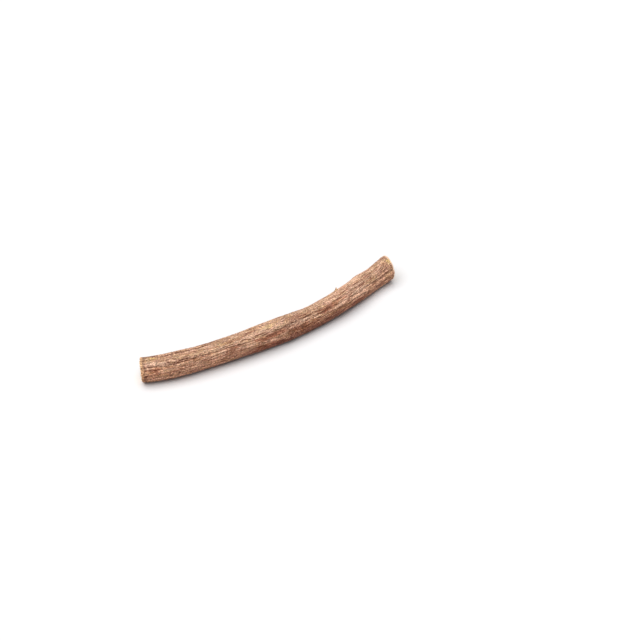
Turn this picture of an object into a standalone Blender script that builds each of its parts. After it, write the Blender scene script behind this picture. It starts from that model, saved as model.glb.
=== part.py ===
"""One cut length of dried licorice root, lying on a table.

The root grew as one piece, so it is one object. It starts as a straight round bar, which is then
carved and bent by formula: every point of the bar is moved to where it lies on the real root.
The bar's axis becomes the root's middle line, drawn in plan by its heading along the way.
"""

import math

import bmesh
import bpy
import numpy as np
from mathutils import Vector, noise

MM = 0.001

# Driving dimensions
LENGTH = 163 * MM  # measured along the bent middle line
BAR_RADIUS = 6.5 * MM  # the straight bar that the carving starts from
RIM_ROUNDING = 0.45 * MM  # worn edge round each cut
BARK_THICKNESS = 0.9 * MM  # dark ring at the edge of a cut face
WOOD_RADIUS = 4.2 * MM  # where the woody core begins

# Mesh fineness
FACETS_ROUND = 84
RINGS_LENGTHWISE = 54
RIM_STEPS = 2
LINE_STEPS = 400

# Each table below gives a value at a few shares of the length, joined by a smooth curve.
HEADING_DEG = (
    (0.0, -23), (0.14, -12.5), (0.28, -6), (0.42, -2), (0.57, 1), (0.7, 7.5), (0.82, 16), (1.0, 11)
)
RADIUS_MM = (
    (0.0, 6.7), (0.12, 6.9), (0.25, 6.45), (0.5, 7.0), (0.64, 6.3), (0.8, 6.3), (0.93, 6.3), (1.0, 7.1)
)
# How far the underside floats over the table; below zero it is pressed flat, at three low points
LIFT_MM = ((0.0, 0.15), (0.08, -0.35), (0.28, 0.5), (0.53, -0.4), (0.74, 0.55), (0.92, -0.35), (1.0, 0.2))

# Slant of each cut: how far the cut runs along the root for each unit sideways and upwards
START_CUT_SLOPE = (0.06, -0.05)
END_CUT_SLOPE = (0.25, 0.02)
CUT_REACH = 13 * MM  # length over which the rings turn from square to the slant of the cut

# Out-of-round section: waves round the root, as (count, height share, start degrees, drift in turns)
SECTION_WAVES = ((2, 0.026, 20, 0.16), (3, 0.018, 75, -0.2), (4, 0.014, 38, 0.08), (5, 0.008, 10, 0.3))

# Bark wrinkles: rounded ridges between narrow furrows, much longer than wide
WRINKLE_WIDTH = 1.9 * MM
WRINKLE_LENGTH = 24 * MM
WRINKLE_HEIGHT = 0.42 * MM
WRINKLE_FADE = 2.5 * MM  # the wrinkles flatten out this close to a cut

# The one long furrow that runs down the side, as angle over the length in degrees from the top,
# and the low ridge that stands beside it
FURROW_DEG = ((0.0, 48), (0.2, 40), (0.42, 42), (0.6, 40), (0.8, 56), (1.0, 62))
FURROW_WIDTH = 0.9 * MM
FURROW_DEPTH = 0.5 * MM
RIDGE_HEIGHT = 0.22 * MM
RIDGE_AWAY = 1.9 * MM

# Scars of side roots and buds: (share of length, degrees from the top, radius mm, height mm)
SCARS = (
    (0.115, 86, 2.0, 0.45),
    (0.28, 30, 1.7, 0.30),
    (0.34, -95, 2.0, 0.45),
    (0.515, 104, 2.2, 0.50),
    (0.655, -96, 2.4, 0.60),
    (0.79, 22, 1.8, 0.35),
    (0.872, -70, 4.0, 0.95),
    (0.895, -150, 2.0, 0.45),
)

BARK_COLOUR = (0.30, 0.165, 0.10, 1)
CUT_COLOUR = (0.56, 0.37, 0.19, 1)


def along(table, share):
    """The value of a table at a share of the length, on a smooth curve through its entries."""
    shares = [entry[0] for entry in table]
    values = [entry[1] for entry in table]
    share = min(max(share, shares[0]), shares[-1])
    right = next(i for i in range(1, len(table)) if share <= shares[i])
    left = right - 1

    def slope(i):
        low, high = max(i - 1, 0), min(i + 1, len(table) - 1)
        return (values[high] - values[low]) / (shares[high] - shares[low])

    span = shares[right] - shares[left]
    u = (share - shares[left]) / span
    rise = values[right] - values[left]
    a = slope(left) * span - rise
    b = rise - slope(right) * span
    return values[left] + u * rise + u * (1 - u) * (a * (1 - u) + b * u)


def middle_line():
    """Points of the middle line in plan and the heading at each, stepped along the length."""
    shares = np.linspace(0, 1, LINE_STEPS + 1)
    headings = np.radians([along(HEADING_DEG, share) for share in shares])
    mean = (headings[1:] + headings[:-1]) / 2
    step = LENGTH / LINE_STEPS
    x = np.concatenate([[0], np.cumsum(np.cos(mean)) * step])
    y = np.concatenate([[0], np.cumsum(np.sin(mean)) * step])
    return shares, x, y, headings


def section_factor(share, angle):
    """How much wider or narrower than its mean radius the root is at this angle."""
    factor = 1
    for count, height, start, drift in SECTION_WAVES:
        turn = math.radians(start) + drift * math.tau * share
        factor += height * math.cos(count * (angle - turn))
    return factor


def wrinkles(distance, angle):
    """Height of the bark's ridges, near zero in the furrows between them."""
    around = Vector((math.cos(angle), math.sin(angle))) * BAR_RADIUS / WRINKLE_WIDTH
    value = noise.noise(Vector((around.x, around.y, distance / WRINKLE_LENGTH)))
    fade = min(1, min(distance, LENGTH - distance) / WRINKLE_FADE)
    return WRINKLE_HEIGHT * (min(1, abs(value) * 2) ** 0.75 - 0.45) * max(fade, 0)


def arc_between(first, second):
    """The shorter way round from one angle to another."""
    return (first - second + math.pi) % math.tau - math.pi


def furrow(share, angle):
    """Depth of the long furrow, which fades and deepens along its way, less the ridge beside it."""
    away = arc_between(angle, math.radians(along(FURROW_DEG, share))) * BAR_RADIUS
    strength = 0.7 + 0.3 * math.sin(math.tau * (2.3 * share + 0.1))
    sunk = FURROW_DEPTH * math.exp(-((away / FURROW_WIDTH) ** 2))
    raised = RIDGE_HEIGHT * math.exp(-(((away - RIDGE_AWAY) / FURROW_WIDTH) ** 2))
    return strength * (sunk - raised)


def scars(share, angle):
    """Height of the low round bumps where side roots and buds were."""
    height = 0
    for place, degrees, radius, bump in SCARS:
        lengthwise = (share - place) * LENGTH / (1.3 * radius * MM)
        sideways = arc_between(angle, math.radians(degrees)) * BAR_RADIUS / (radius * MM)
        height += bump * MM * math.exp(-(lengthwise**2) - sideways**2)
    return height


def surface_radius(share, angle):
    """Distance from the middle line to the bark."""
    base = along(RADIUS_MM, share) * MM * section_factor(share, angle)
    return base + wrinkles(share * LENGTH, angle) - furrow(share, angle) + scars(share, angle)


def cut_shift(share, sideways, upwards):
    """How far a point slides along the root so that the end rings lie in the slanted cuts."""
    shift = 0
    for slope, distance in ((START_CUT_SLOPE, share * LENGTH), (END_CUT_SLOPE, (1 - share) * LENGTH)):
        weight = max(0, 1 - distance / CUT_REACH) ** 1.5
        shift += weight * (slope[0] * sideways + slope[1] * upwards)
    return shift


def carve_and_bend(bm):
    """Moves every point of the straight bar to its place on the root."""
    shares, line_x, line_y, headings = middle_line()
    for vertex in bm.verts:
        bar_x, bar_y, distance = vertex.co
        share = min(max(distance / LENGTH, 0), 1)
        angle = math.atan2(bar_y, bar_x)
        reach = math.hypot(bar_x, bar_y) / BAR_RADIUS * surface_radius(share, angle)
        upwards = reach * math.cos(angle)
        sideways = -reach * math.sin(angle)

        heading = float(np.interp(share, shares, headings))
        ahead = Vector((math.cos(heading), math.sin(heading), 0))
        left = Vector((-ahead.y, ahead.x, 0))
        underside = along(RADIUS_MM, share) * section_factor(share, math.pi)
        centre = Vector((
            float(np.interp(share, shares, line_x)),
            float(np.interp(share, shares, line_y)),
            (underside + along(LIFT_MM, share)) * MM,
        ))
        vertex.co = centre + left * sideways + ahead * cut_shift(share, sideways, upwards)
        vertex.co.z = max(0, centre.z + upwards)


def straight_bar():
    """A round bar along Z with worn rims, rings along its length and ringed cut faces."""
    bm = bmesh.new()
    bmesh.ops.create_cone(
        bm, cap_ends=True, segments=FACETS_ROUND, radius1=BAR_RADIUS, radius2=BAR_RADIUS, depth=LENGTH
    )
    bmesh.ops.translate(bm, verts=bm.verts, vec=(0, 0, LENGTH / 2))
    rims = [e for e in bm.edges if abs(e.verts[0].co.z - e.verts[1].co.z) < LENGTH / 2]
    bmesh.ops.bevel(
        bm, geom=rims, offset=RIM_ROUNDING, segments=RIM_STEPS, profile=0.5, affect="EDGES", material=-1
    )
    lengthwise = [e for e in bm.edges if abs(e.verts[0].co.z - e.verts[1].co.z) > LENGTH / 2]
    bmesh.ops.subdivide_edges(bm, edges=lengthwise, cuts=RINGS_LENGTHWISE - 1)

    cut_faces = [f for f in bm.faces if len(f.verts) == FACETS_ROUND]
    core_inset = BAR_RADIUS - RIM_ROUNDING - BARK_THICKNESS - WOOD_RADIUS
    for width in (BARK_THICKNESS, core_inset):
        rings = bmesh.ops.inset_individual(bm, faces=cut_faces, thickness=width)
        for face in rings["faces"] + cut_faces:
            face.material_index = 1
    bmesh.ops.poke(bm, faces=cut_faces)
    return bm


def finish_material(name, colour, roughness):
    material = bpy.data.materials.new(name)
    material.use_nodes = True
    shader = material.node_tree.nodes["Principled BSDF"]
    shader.inputs["Base Color"].default_value = colour
    shader.inputs["Roughness"].default_value = roughness
    shader.inputs["Metallic"].default_value = 0
    return material


def make_root(collection):
    """The licorice root as one closed object, its box centred over the origin and standing on it."""
    bm = straight_bar()
    carve_and_bend(bm)
    corners = np.array([vertex.co for vertex in bm.verts])
    middle = (corners.min(axis=0) + corners.max(axis=0)) / 2
    bmesh.ops.translate(bm, verts=bm.verts, vec=(-middle[0], -middle[1], 0))
    bmesh.ops.recalc_face_normals(bm, faces=bm.faces)

    mesh = bpy.data.meshes.new("licorice_root")
    bm.to_mesh(mesh)
    bm.free()
    mesh.materials.append(finish_material("bark", BARK_COLOUR, 0.85))
    mesh.materials.append(finish_material("cut_wood", CUT_COLOUR, 0.9))
    mesh.shade_smooth()
    mesh.set_sharp_from_angle(angle=math.radians(55))
    root = bpy.data.objects.new("licorice_root", mesh)
    collection.objects.link(root)


def main():
    for leftover in list(bpy.data.objects):
        bpy.data.objects.remove(leftover, do_unlink=True)
    collection = bpy.data.collections.new("licorice_root_stick")
    bpy.context.scene.collection.children.link(collection)
    make_root(collection)


main()
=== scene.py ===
# %% [markdown]
# # A cut stick of licorice root
# Licorice root is dug up, cut into lengths and dried. The root shrinks as it dries, so its thin
# brown bark stands in long wrinkles, while the cuts at its ends show yellow, fibrous wood.
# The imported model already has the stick's real size, its bend and its coarse wrinkles. This
# script keeps that form, carves the fine bark into it, and gives it finishes, light and a camera.

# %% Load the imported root
import math
import random

import bmesh
import bpy
import numpy as np
from mathutils import Matrix, Vector, noise


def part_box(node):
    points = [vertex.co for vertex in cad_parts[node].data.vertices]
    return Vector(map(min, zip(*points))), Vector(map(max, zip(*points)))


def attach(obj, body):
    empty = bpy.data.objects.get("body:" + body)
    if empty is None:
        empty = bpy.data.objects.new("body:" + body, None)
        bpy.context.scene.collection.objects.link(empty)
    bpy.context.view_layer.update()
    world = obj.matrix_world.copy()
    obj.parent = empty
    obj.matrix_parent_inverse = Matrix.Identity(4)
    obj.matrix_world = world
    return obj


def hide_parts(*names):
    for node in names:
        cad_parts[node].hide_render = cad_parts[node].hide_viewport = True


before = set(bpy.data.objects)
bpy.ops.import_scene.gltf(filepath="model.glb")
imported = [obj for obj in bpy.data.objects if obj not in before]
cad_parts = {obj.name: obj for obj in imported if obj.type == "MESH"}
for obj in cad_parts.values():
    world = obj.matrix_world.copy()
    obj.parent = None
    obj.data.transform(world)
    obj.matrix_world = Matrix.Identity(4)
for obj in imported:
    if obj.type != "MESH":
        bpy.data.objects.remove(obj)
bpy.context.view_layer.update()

MM = 0.001

# %% [markdown]
# ## The camera
# A camera could be dragged into place by eye. Here it is worked out instead: the photograph looks
# down on the table at about 40 degrees, the root's far end is turned about 33 degrees away, and
# one pixel spans about half a millimetre. From a distance of a metre that gives a long lens, and
# the root sits a little left of the middle and below it, as in the photograph.

# %% Camera
LOOK_DOWN = math.radians(40)
TURNED_AWAY = math.radians(33.2)
CAMERA_DISTANCE = 1000 * MM
PHOTO_PIXELS = 640
PIXEL_SPAN = 0.547 * MM
ROOT_LEFT_OF_MIDDLE = 45.5 * PIXEL_SPAN
ROOT_BELOW_MIDDLE = 6.2 * PIXEL_SPAN
SENSOR_MM = 36

to_right = Vector((math.cos(TURNED_AWAY), -math.sin(TURNED_AWAY), 0))
level_ahead = Vector((math.sin(TURNED_AWAY), math.cos(TURNED_AWAY), 0))
ahead_down = level_ahead * math.cos(LOOK_DOWN) - Vector((0, 0, math.sin(LOOK_DOWN)))
picture_up = to_right.cross(ahead_down)

root_middle = Vector((0, -2 * MM, 6.5 * MM))
aim = root_middle + to_right * ROOT_LEFT_OF_MIDDLE + picture_up * ROOT_BELOW_MIDDLE
camera = bpy.data.objects.new("photo_camera", bpy.data.cameras.new("photo_camera"))
camera.data.sensor_width = SENSOR_MM
camera.data.lens = SENSOR_MM * CAMERA_DISTANCE / (PHOTO_PIXELS * PIXEL_SPAN)
camera.data.clip_start = 0.01
camera.matrix_world = Matrix.Translation(aim - ahead_down * CAMERA_DISTANCE) @ Matrix(
    (to_right, picture_up, -ahead_down)
).transposed().to_4x4()
bpy.context.scene.collection.objects.link(camera)
bpy.context.scene.camera = camera
print("lens, mm:", round(camera.data.lens, 1))

# %% [markdown]
# ## Table and light
# The photograph was made on a white table under wide, soft light from overhead, a little towards
# the camera. A sun lamp with a wide disc gives that: its shadows are soft, and it lights the whole
# table evenly, which an area lamp can't do. A weak even light from all round keeps the shadows from
# going black. What the camera sees past the table's far edge is plain white.

# %% Table and light
TABLE_RADIUS = 8
TABLE_WHITE = (0.72, 0.72, 0.735, 1)
SUN_STRENGTH = 3.75
SUN_COLOUR = (1.0, 0.99, 0.97)
SUN_DISC = math.radians(70)
SUN_TOWARDS_CAMERA = 0.14
SUN_TO_LEFT = 0.22
FILL_STRENGTH = 0.3
FILL_COLOUR = (0.97, 0.98, 1.0, 1)
bpy.context.scene.view_settings.view_transform = "Standard"


def make_table():
    """A round white table top under the root."""
    bm = bmesh.new()
    bmesh.ops.create_circle(bm, cap_ends=True, segments=96, radius=TABLE_RADIUS)
    mesh = bpy.data.meshes.new("table_top")
    bm.to_mesh(mesh)
    bm.free()
    material = bpy.data.materials.new("white_table")
    material.use_nodes = True
    shader = material.node_tree.nodes["Principled BSDF"]
    shader.inputs["Base Color"].default_value = TABLE_WHITE
    shader.inputs["Roughness"].default_value = 0.7
    shader.inputs["Specular IOR Level"].default_value = 0.2
    mesh.materials.append(material)
    table = bpy.data.objects.new("table_top", mesh)
    bpy.context.scene.collection.objects.link(table)


def make_sun():
    """The wide, soft lamp overhead."""
    sun = bpy.data.objects.new("soft_sun", bpy.data.lights.new("soft_sun", "SUN"))
    sun.data.energy = SUN_STRENGTH
    sun.data.color = SUN_COLOUR
    sun.data.angle = SUN_DISC
    towards_sun = Vector((0, 0, 1)) - level_ahead * SUN_TOWARDS_CAMERA - to_right * SUN_TO_LEFT
    sun.rotation_euler = towards_sun.to_track_quat("Z", "Y").to_euler()
    bpy.context.scene.collection.objects.link(sun)


def make_room():
    """Even light from all round, and plain white where the camera looks past the table."""
    world = bpy.data.worlds.new("white_room")
    world.use_nodes = True
    tree = world.node_tree
    fill = tree.nodes["Background"]
    fill.inputs["Color"].default_value = FILL_COLOUR
    fill.inputs["Strength"].default_value = FILL_STRENGTH
    seen = tree.nodes.new("ShaderNodeBackground")
    seen.inputs["Color"].default_value = (1, 1, 1, 1)
    chosen = tree.nodes.new("ShaderNodeMixShader")
    tree.links.new(tree.nodes.new("ShaderNodeLightPath").outputs["Is Camera Ray"], chosen.inputs[0])
    tree.links.new(fill.outputs[0], chosen.inputs[1])
    tree.links.new(seen.outputs[0], chosen.inputs[2])
    tree.links.new(chosen.outputs[0], tree.nodes["World Output"].inputs["Surface"])
    bpy.context.scene.world = world


make_table()
make_sun()
make_room()

# %% [markdown]
# ## The form of the root
# The root is thought of as a straight round bar that was carved and then bent. A curve with a
# round bevel would give a bent stick too, but its skin couldn't be carved. A point of the bar is
# known by its distance from the first cut and by its angle round the bar, measured from the top.
# These values and formulas are the same as in the part's own source, so the carved mesh lies where
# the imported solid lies. Working on whole columns of numbers with numpy keeps it quick.

# %% Sizes of the bar and its bend
LENGTH = 163 * MM
BAR_RADIUS = 6.5 * MM
RIM_ROUNDING = 0.45 * MM
LINE_STEPS = 400

# Each table gives a value at a few shares of the length, joined by a smooth curve. The first two
# are the middle line's heading, seen from above, and the root's mean radius.
HEADING_DEG = (
    (0.0, -23), (0.14, -12.5), (0.28, -6), (0.42, -2), (0.57, 1), (0.7, 7.5), (0.82, 16), (1.0, 11)
)
RADIUS_MM = (
    (0.0, 6.7), (0.12, 6.9), (0.25, 6.45), (0.5, 7.0),
    (0.64, 6.3), (0.8, 6.3), (0.93, 6.3), (1.0, 7.1),
)
# How far the underside floats over the table; below zero it is pressed flat, at three low points
LIFT_MM = (
    (0.0, 0.15), (0.08, -0.35), (0.28, 0.5), (0.53, -0.4), (0.74, 0.55), (0.92, -0.35), (1.0, 0.2)
)


def along(table, share):
    """The value of a table at a share of the length, on a smooth curve through its entries."""
    shares = [entry[0] for entry in table]
    values = [entry[1] for entry in table]
    right = next(i for i in range(1, len(table)) if share <= shares[i])
    left = right - 1

    def slope(i):
        low, high = max(i - 1, 0), min(i + 1, len(table) - 1)
        return (values[high] - values[low]) / (shares[high] - shares[low])

    span = shares[right] - shares[left]
    u = (share - shares[left]) / span
    rise = values[right] - values[left]
    a = slope(left) * span - rise
    b = rise - slope(right) * span
    return values[left] + u * rise + u * (1 - u) * (a * (1 - u) + b * u)


line_shares = np.linspace(0, 1, LINE_STEPS + 1)


def along_many(table, shares):
    """The same for a whole column of shares, read from a fine ladder of steps."""
    steps = [along(table, share) for share in line_shares]
    return np.interp(shares, line_shares, steps)


line_heading = np.radians(along_many(HEADING_DEG, line_shares))
line_step = LENGTH / LINE_STEPS
mean_heading = (line_heading[1:] + line_heading[:-1]) / 2
line_x = np.concatenate([[0], np.cumsum(np.cos(mean_heading)) * line_step])
line_y = np.concatenate([[0], np.cumsum(np.sin(mean_heading)) * line_step])
print("middle line ends at, mm:", round(line_x[-1] / MM, 1), round(line_y[-1] / MM, 1))

# %% [markdown]
# ## The coarse relief
# Four things make the outline: an out-of-round section, rounded ridges between narrow furrows,
# one long furrow down the side, and the low bumps that side roots and buds left. They repeat the
# part's source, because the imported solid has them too.

# %% Coarse relief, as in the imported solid
# Waves of the section: (how many go round, share of the radius, start in degrees, drift in turns)
SECTION_WAVES = (
    (2, 0.026, 20, 0.16),
    (3, 0.018, 75, -0.2),
    (4, 0.014, 38, 0.08),
    (5, 0.008, 10, 0.3),
)
WRINKLE_WIDTH = 1.9 * MM
WRINKLE_LENGTH = 24 * MM
WRINKLE_HEIGHT = 0.42 * MM
WRINKLE_STEEPNESS = 2
WRINKLE_ROUNDNESS = 0.75  # below 1 the ridges are broad and the furrows between them narrow
WRINKLE_MIDDLE = 0.45  # share of a ridge's height that leaves the root's radius as it is
WRINKLE_FADE = 2.5 * MM  # the wrinkles flatten out this close to a cut
# The long furrow's angle from the top in degrees, and the low ridge that stands beside it
FURROW_DEG = ((0.0, 48), (0.2, 40), (0.42, 42), (0.6, 40), (0.8, 56), (1.0, 62))
FURROW_WIDTH = 0.9 * MM
FURROW_DEPTH = 0.5 * MM
RIDGE_HEIGHT = 0.22 * MM
RIDGE_AWAY = 1.9 * MM
FURROW_SWELLS = 2.3  # how often the furrow deepens and fades along the root
# Scars of side roots and buds: (share of length, degrees from the top, radius mm, height mm)
SCARS = (
    (0.115, 86, 2.0, 0.45),
    (0.28, 30, 1.7, 0.30),
    (0.34, -95, 2.0, 0.45),
    (0.515, 104, 2.2, 0.50),
    (0.655, -96, 2.4, 0.60),
    (0.79, 22, 1.8, 0.35),
    (0.872, -70, 4.0, 0.95),
    (0.895, -150, 2.0, 0.45),
)
SCAR_STRETCH = 1.3  # how much longer a scar is along the root than round it
print("scars:", len(SCARS), "the highest, mm:", max(bump for *_, bump in SCARS))


# %% Ridges, furrow and scars
def arc_between(first, second):
    """The shorter way round from one angle to another."""
    return (first - second + math.pi) % math.tau - math.pi


def noise_column(distance, angle, width, length, start=(0, 0, 0)):
    """Smooth noise on the bar's skin, in cells of a given width round it and length along it."""
    across = np.cos(angle) * BAR_RADIUS / width + start[0]
    back = np.sin(angle) * BAR_RADIUS / width + start[1]
    lengthwise = distance / length + start[2]
    return np.array([noise.noise(point) for point in zip(across, back, lengthwise)])


def section_factor(share, angle):
    """How much wider or narrower than its mean radius the root is at each angle."""
    factor = np.ones_like(share)
    for count, height, start, drift in SECTION_WAVES:
        turn = math.radians(start) + drift * math.tau * share
        factor = factor + height * np.cos(count * (angle - turn))
    return factor


def coarse_wrinkles(distance, angle):
    """Height of the broad ridges, near zero in the furrows between them."""
    ridges = np.abs(noise_column(distance, angle, WRINKLE_WIDTH, WRINKLE_LENGTH))
    ridges = np.minimum(1, ridges * WRINKLE_STEEPNESS) ** WRINKLE_ROUNDNESS
    fade = np.clip(np.minimum(distance, LENGTH - distance) / WRINKLE_FADE, 0, 1)
    return WRINKLE_HEIGHT * (ridges - WRINKLE_MIDDLE) * fade


def furrow(share, angle):
    """Depth of the long furrow, less the low ridge that stands beside it."""
    away = arc_between(angle, np.radians(along_many(FURROW_DEG, share))) * BAR_RADIUS
    strength = 0.7 + 0.3 * np.sin(math.tau * (FURROW_SWELLS * share + 0.1))
    sunk = FURROW_DEPTH * np.exp(-((away / FURROW_WIDTH) ** 2))
    raised = RIDGE_HEIGHT * np.exp(-(((away - RIDGE_AWAY) / FURROW_WIDTH) ** 2))
    return strength * (sunk - raised)


def scars(share, angle):
    """Height of the low round bumps where side roots and buds were."""
    height = np.zeros_like(share)
    for place, degrees, radius, bump in SCARS:
        lengthwise = (share - place) * LENGTH / (SCAR_STRETCH * radius * MM)
        sideways = arc_between(angle, math.radians(degrees)) * BAR_RADIUS / (radius * MM)
        height = height + bump * MM * np.exp(-(lengthwise**2) - sideways**2)
    return height


def coarse_radius(distance, angle):
    """Distance from the middle line to the bark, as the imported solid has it."""
    share = np.clip(distance / LENGTH, 0, 1)
    base = along_many(RADIUS_MM, share) * MM * section_factor(share, angle)
    return base + coarse_wrinkles(distance, angle) - furrow(share, angle) + scars(share, angle)


middle_distance = np.full(8, LENGTH / 2)
middle_angle = np.linspace(0, math.tau, 9)[:-1]
middle_radius = coarse_radius(middle_distance, middle_angle)
print("radius round the middle, mm:", np.round(middle_radius / MM, 2))

# %% [markdown]
# ## The fine relief
# Between the coarse ridges the bark is crinkled like dried skin. Displacement in the material
# would look the same in a picture, but it would be lost when the mesh is exported, so the crinkles
# are carved into the mesh. Three layers are added, each finer than the last. The noise of the two
# longer ones is first pushed sideways by slower noise, so that their crinkles wander, split and
# meet like a braid. Where the longest crinkles are low, the short ones stand higher.

# %% Crinkles and cross cracks
# Each layer: (width mm, length mm, height mm, sideways wander mm)
CRINKLE_LAYERS = (
    (0.95, 20.0, 0.16, 0.5),
    (0.55, 6.0, 0.12, 0.35),
    (0.45, 1.3, 0.13, 0.0),
)
CRINKLE_STEEPNESS = 3.2
CRINKLE_ROUNDNESS = 0.6  # below 1 the ridges are broad and the lines between them narrow
CRINKLE_MIDDLE = 0.7  # share of a ridge's height that leaves the root's radius as it is
CRINKLE_START = (17.3, 5.1, 9.7)  # where in the noise the first layer is taken from
WANDER_WIDTH = 2.0 * MM
WANDER_LENGTH = 7.0 * MM
# How high the longest crinkles stand along the root; where they are low, the short ones are higher
LONG_CRINKLES = (
    (0.0, 1.0), (0.42, 1.0), (0.54, 0.6), (0.64, 0.8),
    (0.75, 1.0), (0.84, 0.9), (0.93, 0.5), (1.0, 0.5),
)
SHORT_CRINKLE_GAIN = 0.9
CRACK_DEPTH = 0.16 * MM
CRACK_LENGTH = 2.4 * MM  # across the root
CRACK_SPACING = 0.9 * MM  # along the root
CRACK_SHARPNESS = 9
CRACK_START = (3.1, 41, 8)  # where in the noise they are taken from
# The size of the cracked places, and where in the noise these are taken from
CRACKED_WIDTH = 3.0 * MM
CRACKED_LENGTH = 5.0 * MM
CRACKED_START = (61, 2, 4)


def crinkles(distance, angle):
    """Height of the fine layers, and how deep in a crinkle each point lies, from 0 to about 1."""
    height = np.zeros_like(distance)
    depth = np.zeros_like(distance)
    long_share = along_many(LONG_CRINKLES, distance / LENGTH)
    short_share = 1 + SHORT_CRINKLE_GAIN * (1 - long_share)
    for number, (width, length, full_height, wander) in enumerate(CRINKLE_LAYERS):
        tall = full_height * (short_share if number else long_share)
        start = (CRINKLE_START[0] * (number + 1), *CRINKLE_START[1:])
        push = noise_column(distance, angle, WANDER_WIDTH, WANDER_LENGTH, start)
        pushed = angle + push * 2 * wander * MM / BAR_RADIUS
        ridges = np.abs(noise_column(distance, pushed, width * MM, length * MM, start))
        ridges = np.minimum(1, ridges * CRINKLE_STEEPNESS) ** CRINKLE_ROUNDNESS
        height = height + tall * MM * (ridges - CRINKLE_MIDDLE)
        depth = depth + (1 - ridges) * tall
    return height, depth / sum(layer[2] for layer in CRINKLE_LAYERS)


def cross_cracks(distance, angle):
    """Depth of the short shallow cracks that run across the root in a few places."""
    line = np.abs(noise_column(distance, angle, CRACK_LENGTH, CRACK_SPACING, CRACK_START))
    cracked = noise_column(distance, angle, CRACKED_WIDTH, CRACKED_LENGTH, CRACKED_START)
    sharp = np.clip(1 - line * CRACK_SHARPNESS, 0, 1)
    return CRACK_DEPTH * sharp * np.clip(cracked * 5 - 0.9, 0, 1)


middle_crinkles, _ = crinkles(middle_distance, middle_angle)
print("crinkles round the middle, mm:", np.round(middle_crinkles / MM, 2))

# %% [markdown]
# ## Fissures
# A few dark lines stand out on the real stick: sharp fissures where the drying bark tore along its
# length. They could be cut into the mesh with a knife, but a narrow dip in the relief follows the
# bend by itself. The ones that the photograph shows are listed, each by its share of the length
# and its angle, and the hidden side gets more from a seeded draw.

# %% Fissures
# (start share, end share, degrees from the top at the start and at the end, depth mm)
FISSURES = [
    (0.02, 0.07, 56, 57, 0.32),
    (0.06, 0.17, 43, 40, 0.26),
    (0.12, 0.25, 41, 39, 0.30),
    (0.22, 0.36, 40, 49, 0.34),
    (0.27, 0.38, 70, 77, 0.26),
    (0.36, 0.53, 46, 37, 0.38),
    (0.37, 0.52, 78, 77, 0.24),
    (0.50, 0.63, 33, 31, 0.30),
    (0.56, 0.70, 50, 46, 0.28),
    (0.61, 0.78, 61, 66, 0.36),
    (0.69, 0.86, 24, 32, 0.28),
    (0.76, 0.88, 66, 88, 0.30),
    (0.84, 0.98, 50, 60, 0.16),
    (0.79, 0.91, 9, 5, 0.12),
    (0.90, 0.975, 18, 21, 0.15),
    (0.10, 0.24, 84, 78, 0.20),
]
FISSURE_WIDTH = 0.22 * MM
FISSURE_WANDER = 0.7 * MM  # sideways
FISSURE_WANDER_LENGTH = 5 * MM
FISSURE_OPEN_LENGTH = 4 * MM  # the stretches over which it opens and closes
FISSURE_FADE = 0.02  # share of the root's length
HIDDEN_FISSURES = 16
dice = random.Random(5)
for _ in range(HIDDEN_FISSURES):
    begin = dice.uniform(0.02, 0.75)
    end = min(begin + dice.uniform(0.1, 0.3), 0.98)
    turn = dice.uniform(105, 345)
    FISSURES.append((begin, end, turn, turn + dice.uniform(-12, 12), dice.uniform(0.15, 0.34)))


def noise_line(shares, length, row):
    """Noise that changes along the root only, worked out on the ladder of steps."""
    steps = [noise.noise((row * 3.7, row * 1.9, share * LENGTH / length)) for share in line_shares]
    return np.interp(shares, line_shares, steps)


def fissures(distance, angle):
    """Depth of the narrow fissures, which wander, fade and open again along their way."""
    share = distance / LENGTH
    depth = np.zeros_like(distance)
    for row, (begin, end, first_turn, last_turn, deep) in enumerate(FISSURES):
        inside = np.clip(np.minimum(share - begin, end - share) / FISSURE_FADE, 0, 1)
        turn = np.radians(np.interp(share, (begin, end), (first_turn, last_turn)))
        wander = noise_line(share, FISSURE_WANDER_LENGTH, row) * FISSURE_WANDER
        opening = noise_line(share, FISSURE_OPEN_LENGTH, row + 40)
        open_share = np.clip(0.7 + 1.8 * opening, 0, 1)
        away = arc_between(angle, turn) * BAR_RADIUS - wander
        here = deep * MM * inside * open_share * np.exp(-((away / FISSURE_WIDTH) ** 2))
        depth = np.maximum(depth, here)
    return depth


print("fissures:", len(FISSURES))

# %% [markdown]
# ## Pits
# Small round pits dot the bark, and each scar has a larger one, where the side root rotted away.
# Cutting each one out with a boolean would leave hard edges and a torn mesh, so they are smooth
# dips in the relief too. A few lie where the photograph shows them, and the rest are drawn.

# %% Pits
PIT_COUNT = 46
PIT_RADIUS_MM = (0.2, 0.38)
PIT_DEPTH_MM = (0.1, 0.24)
PIT_STRETCH = 1.5  # how much longer a pit is along the root than round it
# The pit in a scar: its half length and half width as shares of the scar's radius, and its depth
# as a share of the scar's height, which counts up to a limit
SCAR_PIT_LENGTH = 0.42
SCAR_PIT_WIDTH = 0.34
SCAR_PIT_DEPTH = 0.55
SCAR_HEIGHT_LIMIT_MM = 0.6
# (share of length, degrees from the top, radius mm, depth mm)
PITS = [
    (0.028, 56, 0.45, 0.45),
    (0.042, 57, 0.42, 0.42),
    (0.30, 52, 0.34, 0.3),
    (0.306, 60, 0.34, 0.3),
]
for _ in range(PIT_COUNT):
    spot = (dice.uniform(0.03, 0.97), dice.uniform(0, 360))
    PITS.append((*spot, dice.uniform(*PIT_RADIUS_MM), dice.uniform(*PIT_DEPTH_MM)))


def from_spot(distance, angle, place, degrees, half_length, half_width):
    """How far each point is from a spot on the bark, along and round the root, in half sizes."""
    lengthwise = (distance - place * LENGTH) / half_length
    sideways = arc_between(angle, math.radians(degrees)) * BAR_RADIUS / half_width
    return lengthwise, sideways


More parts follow.
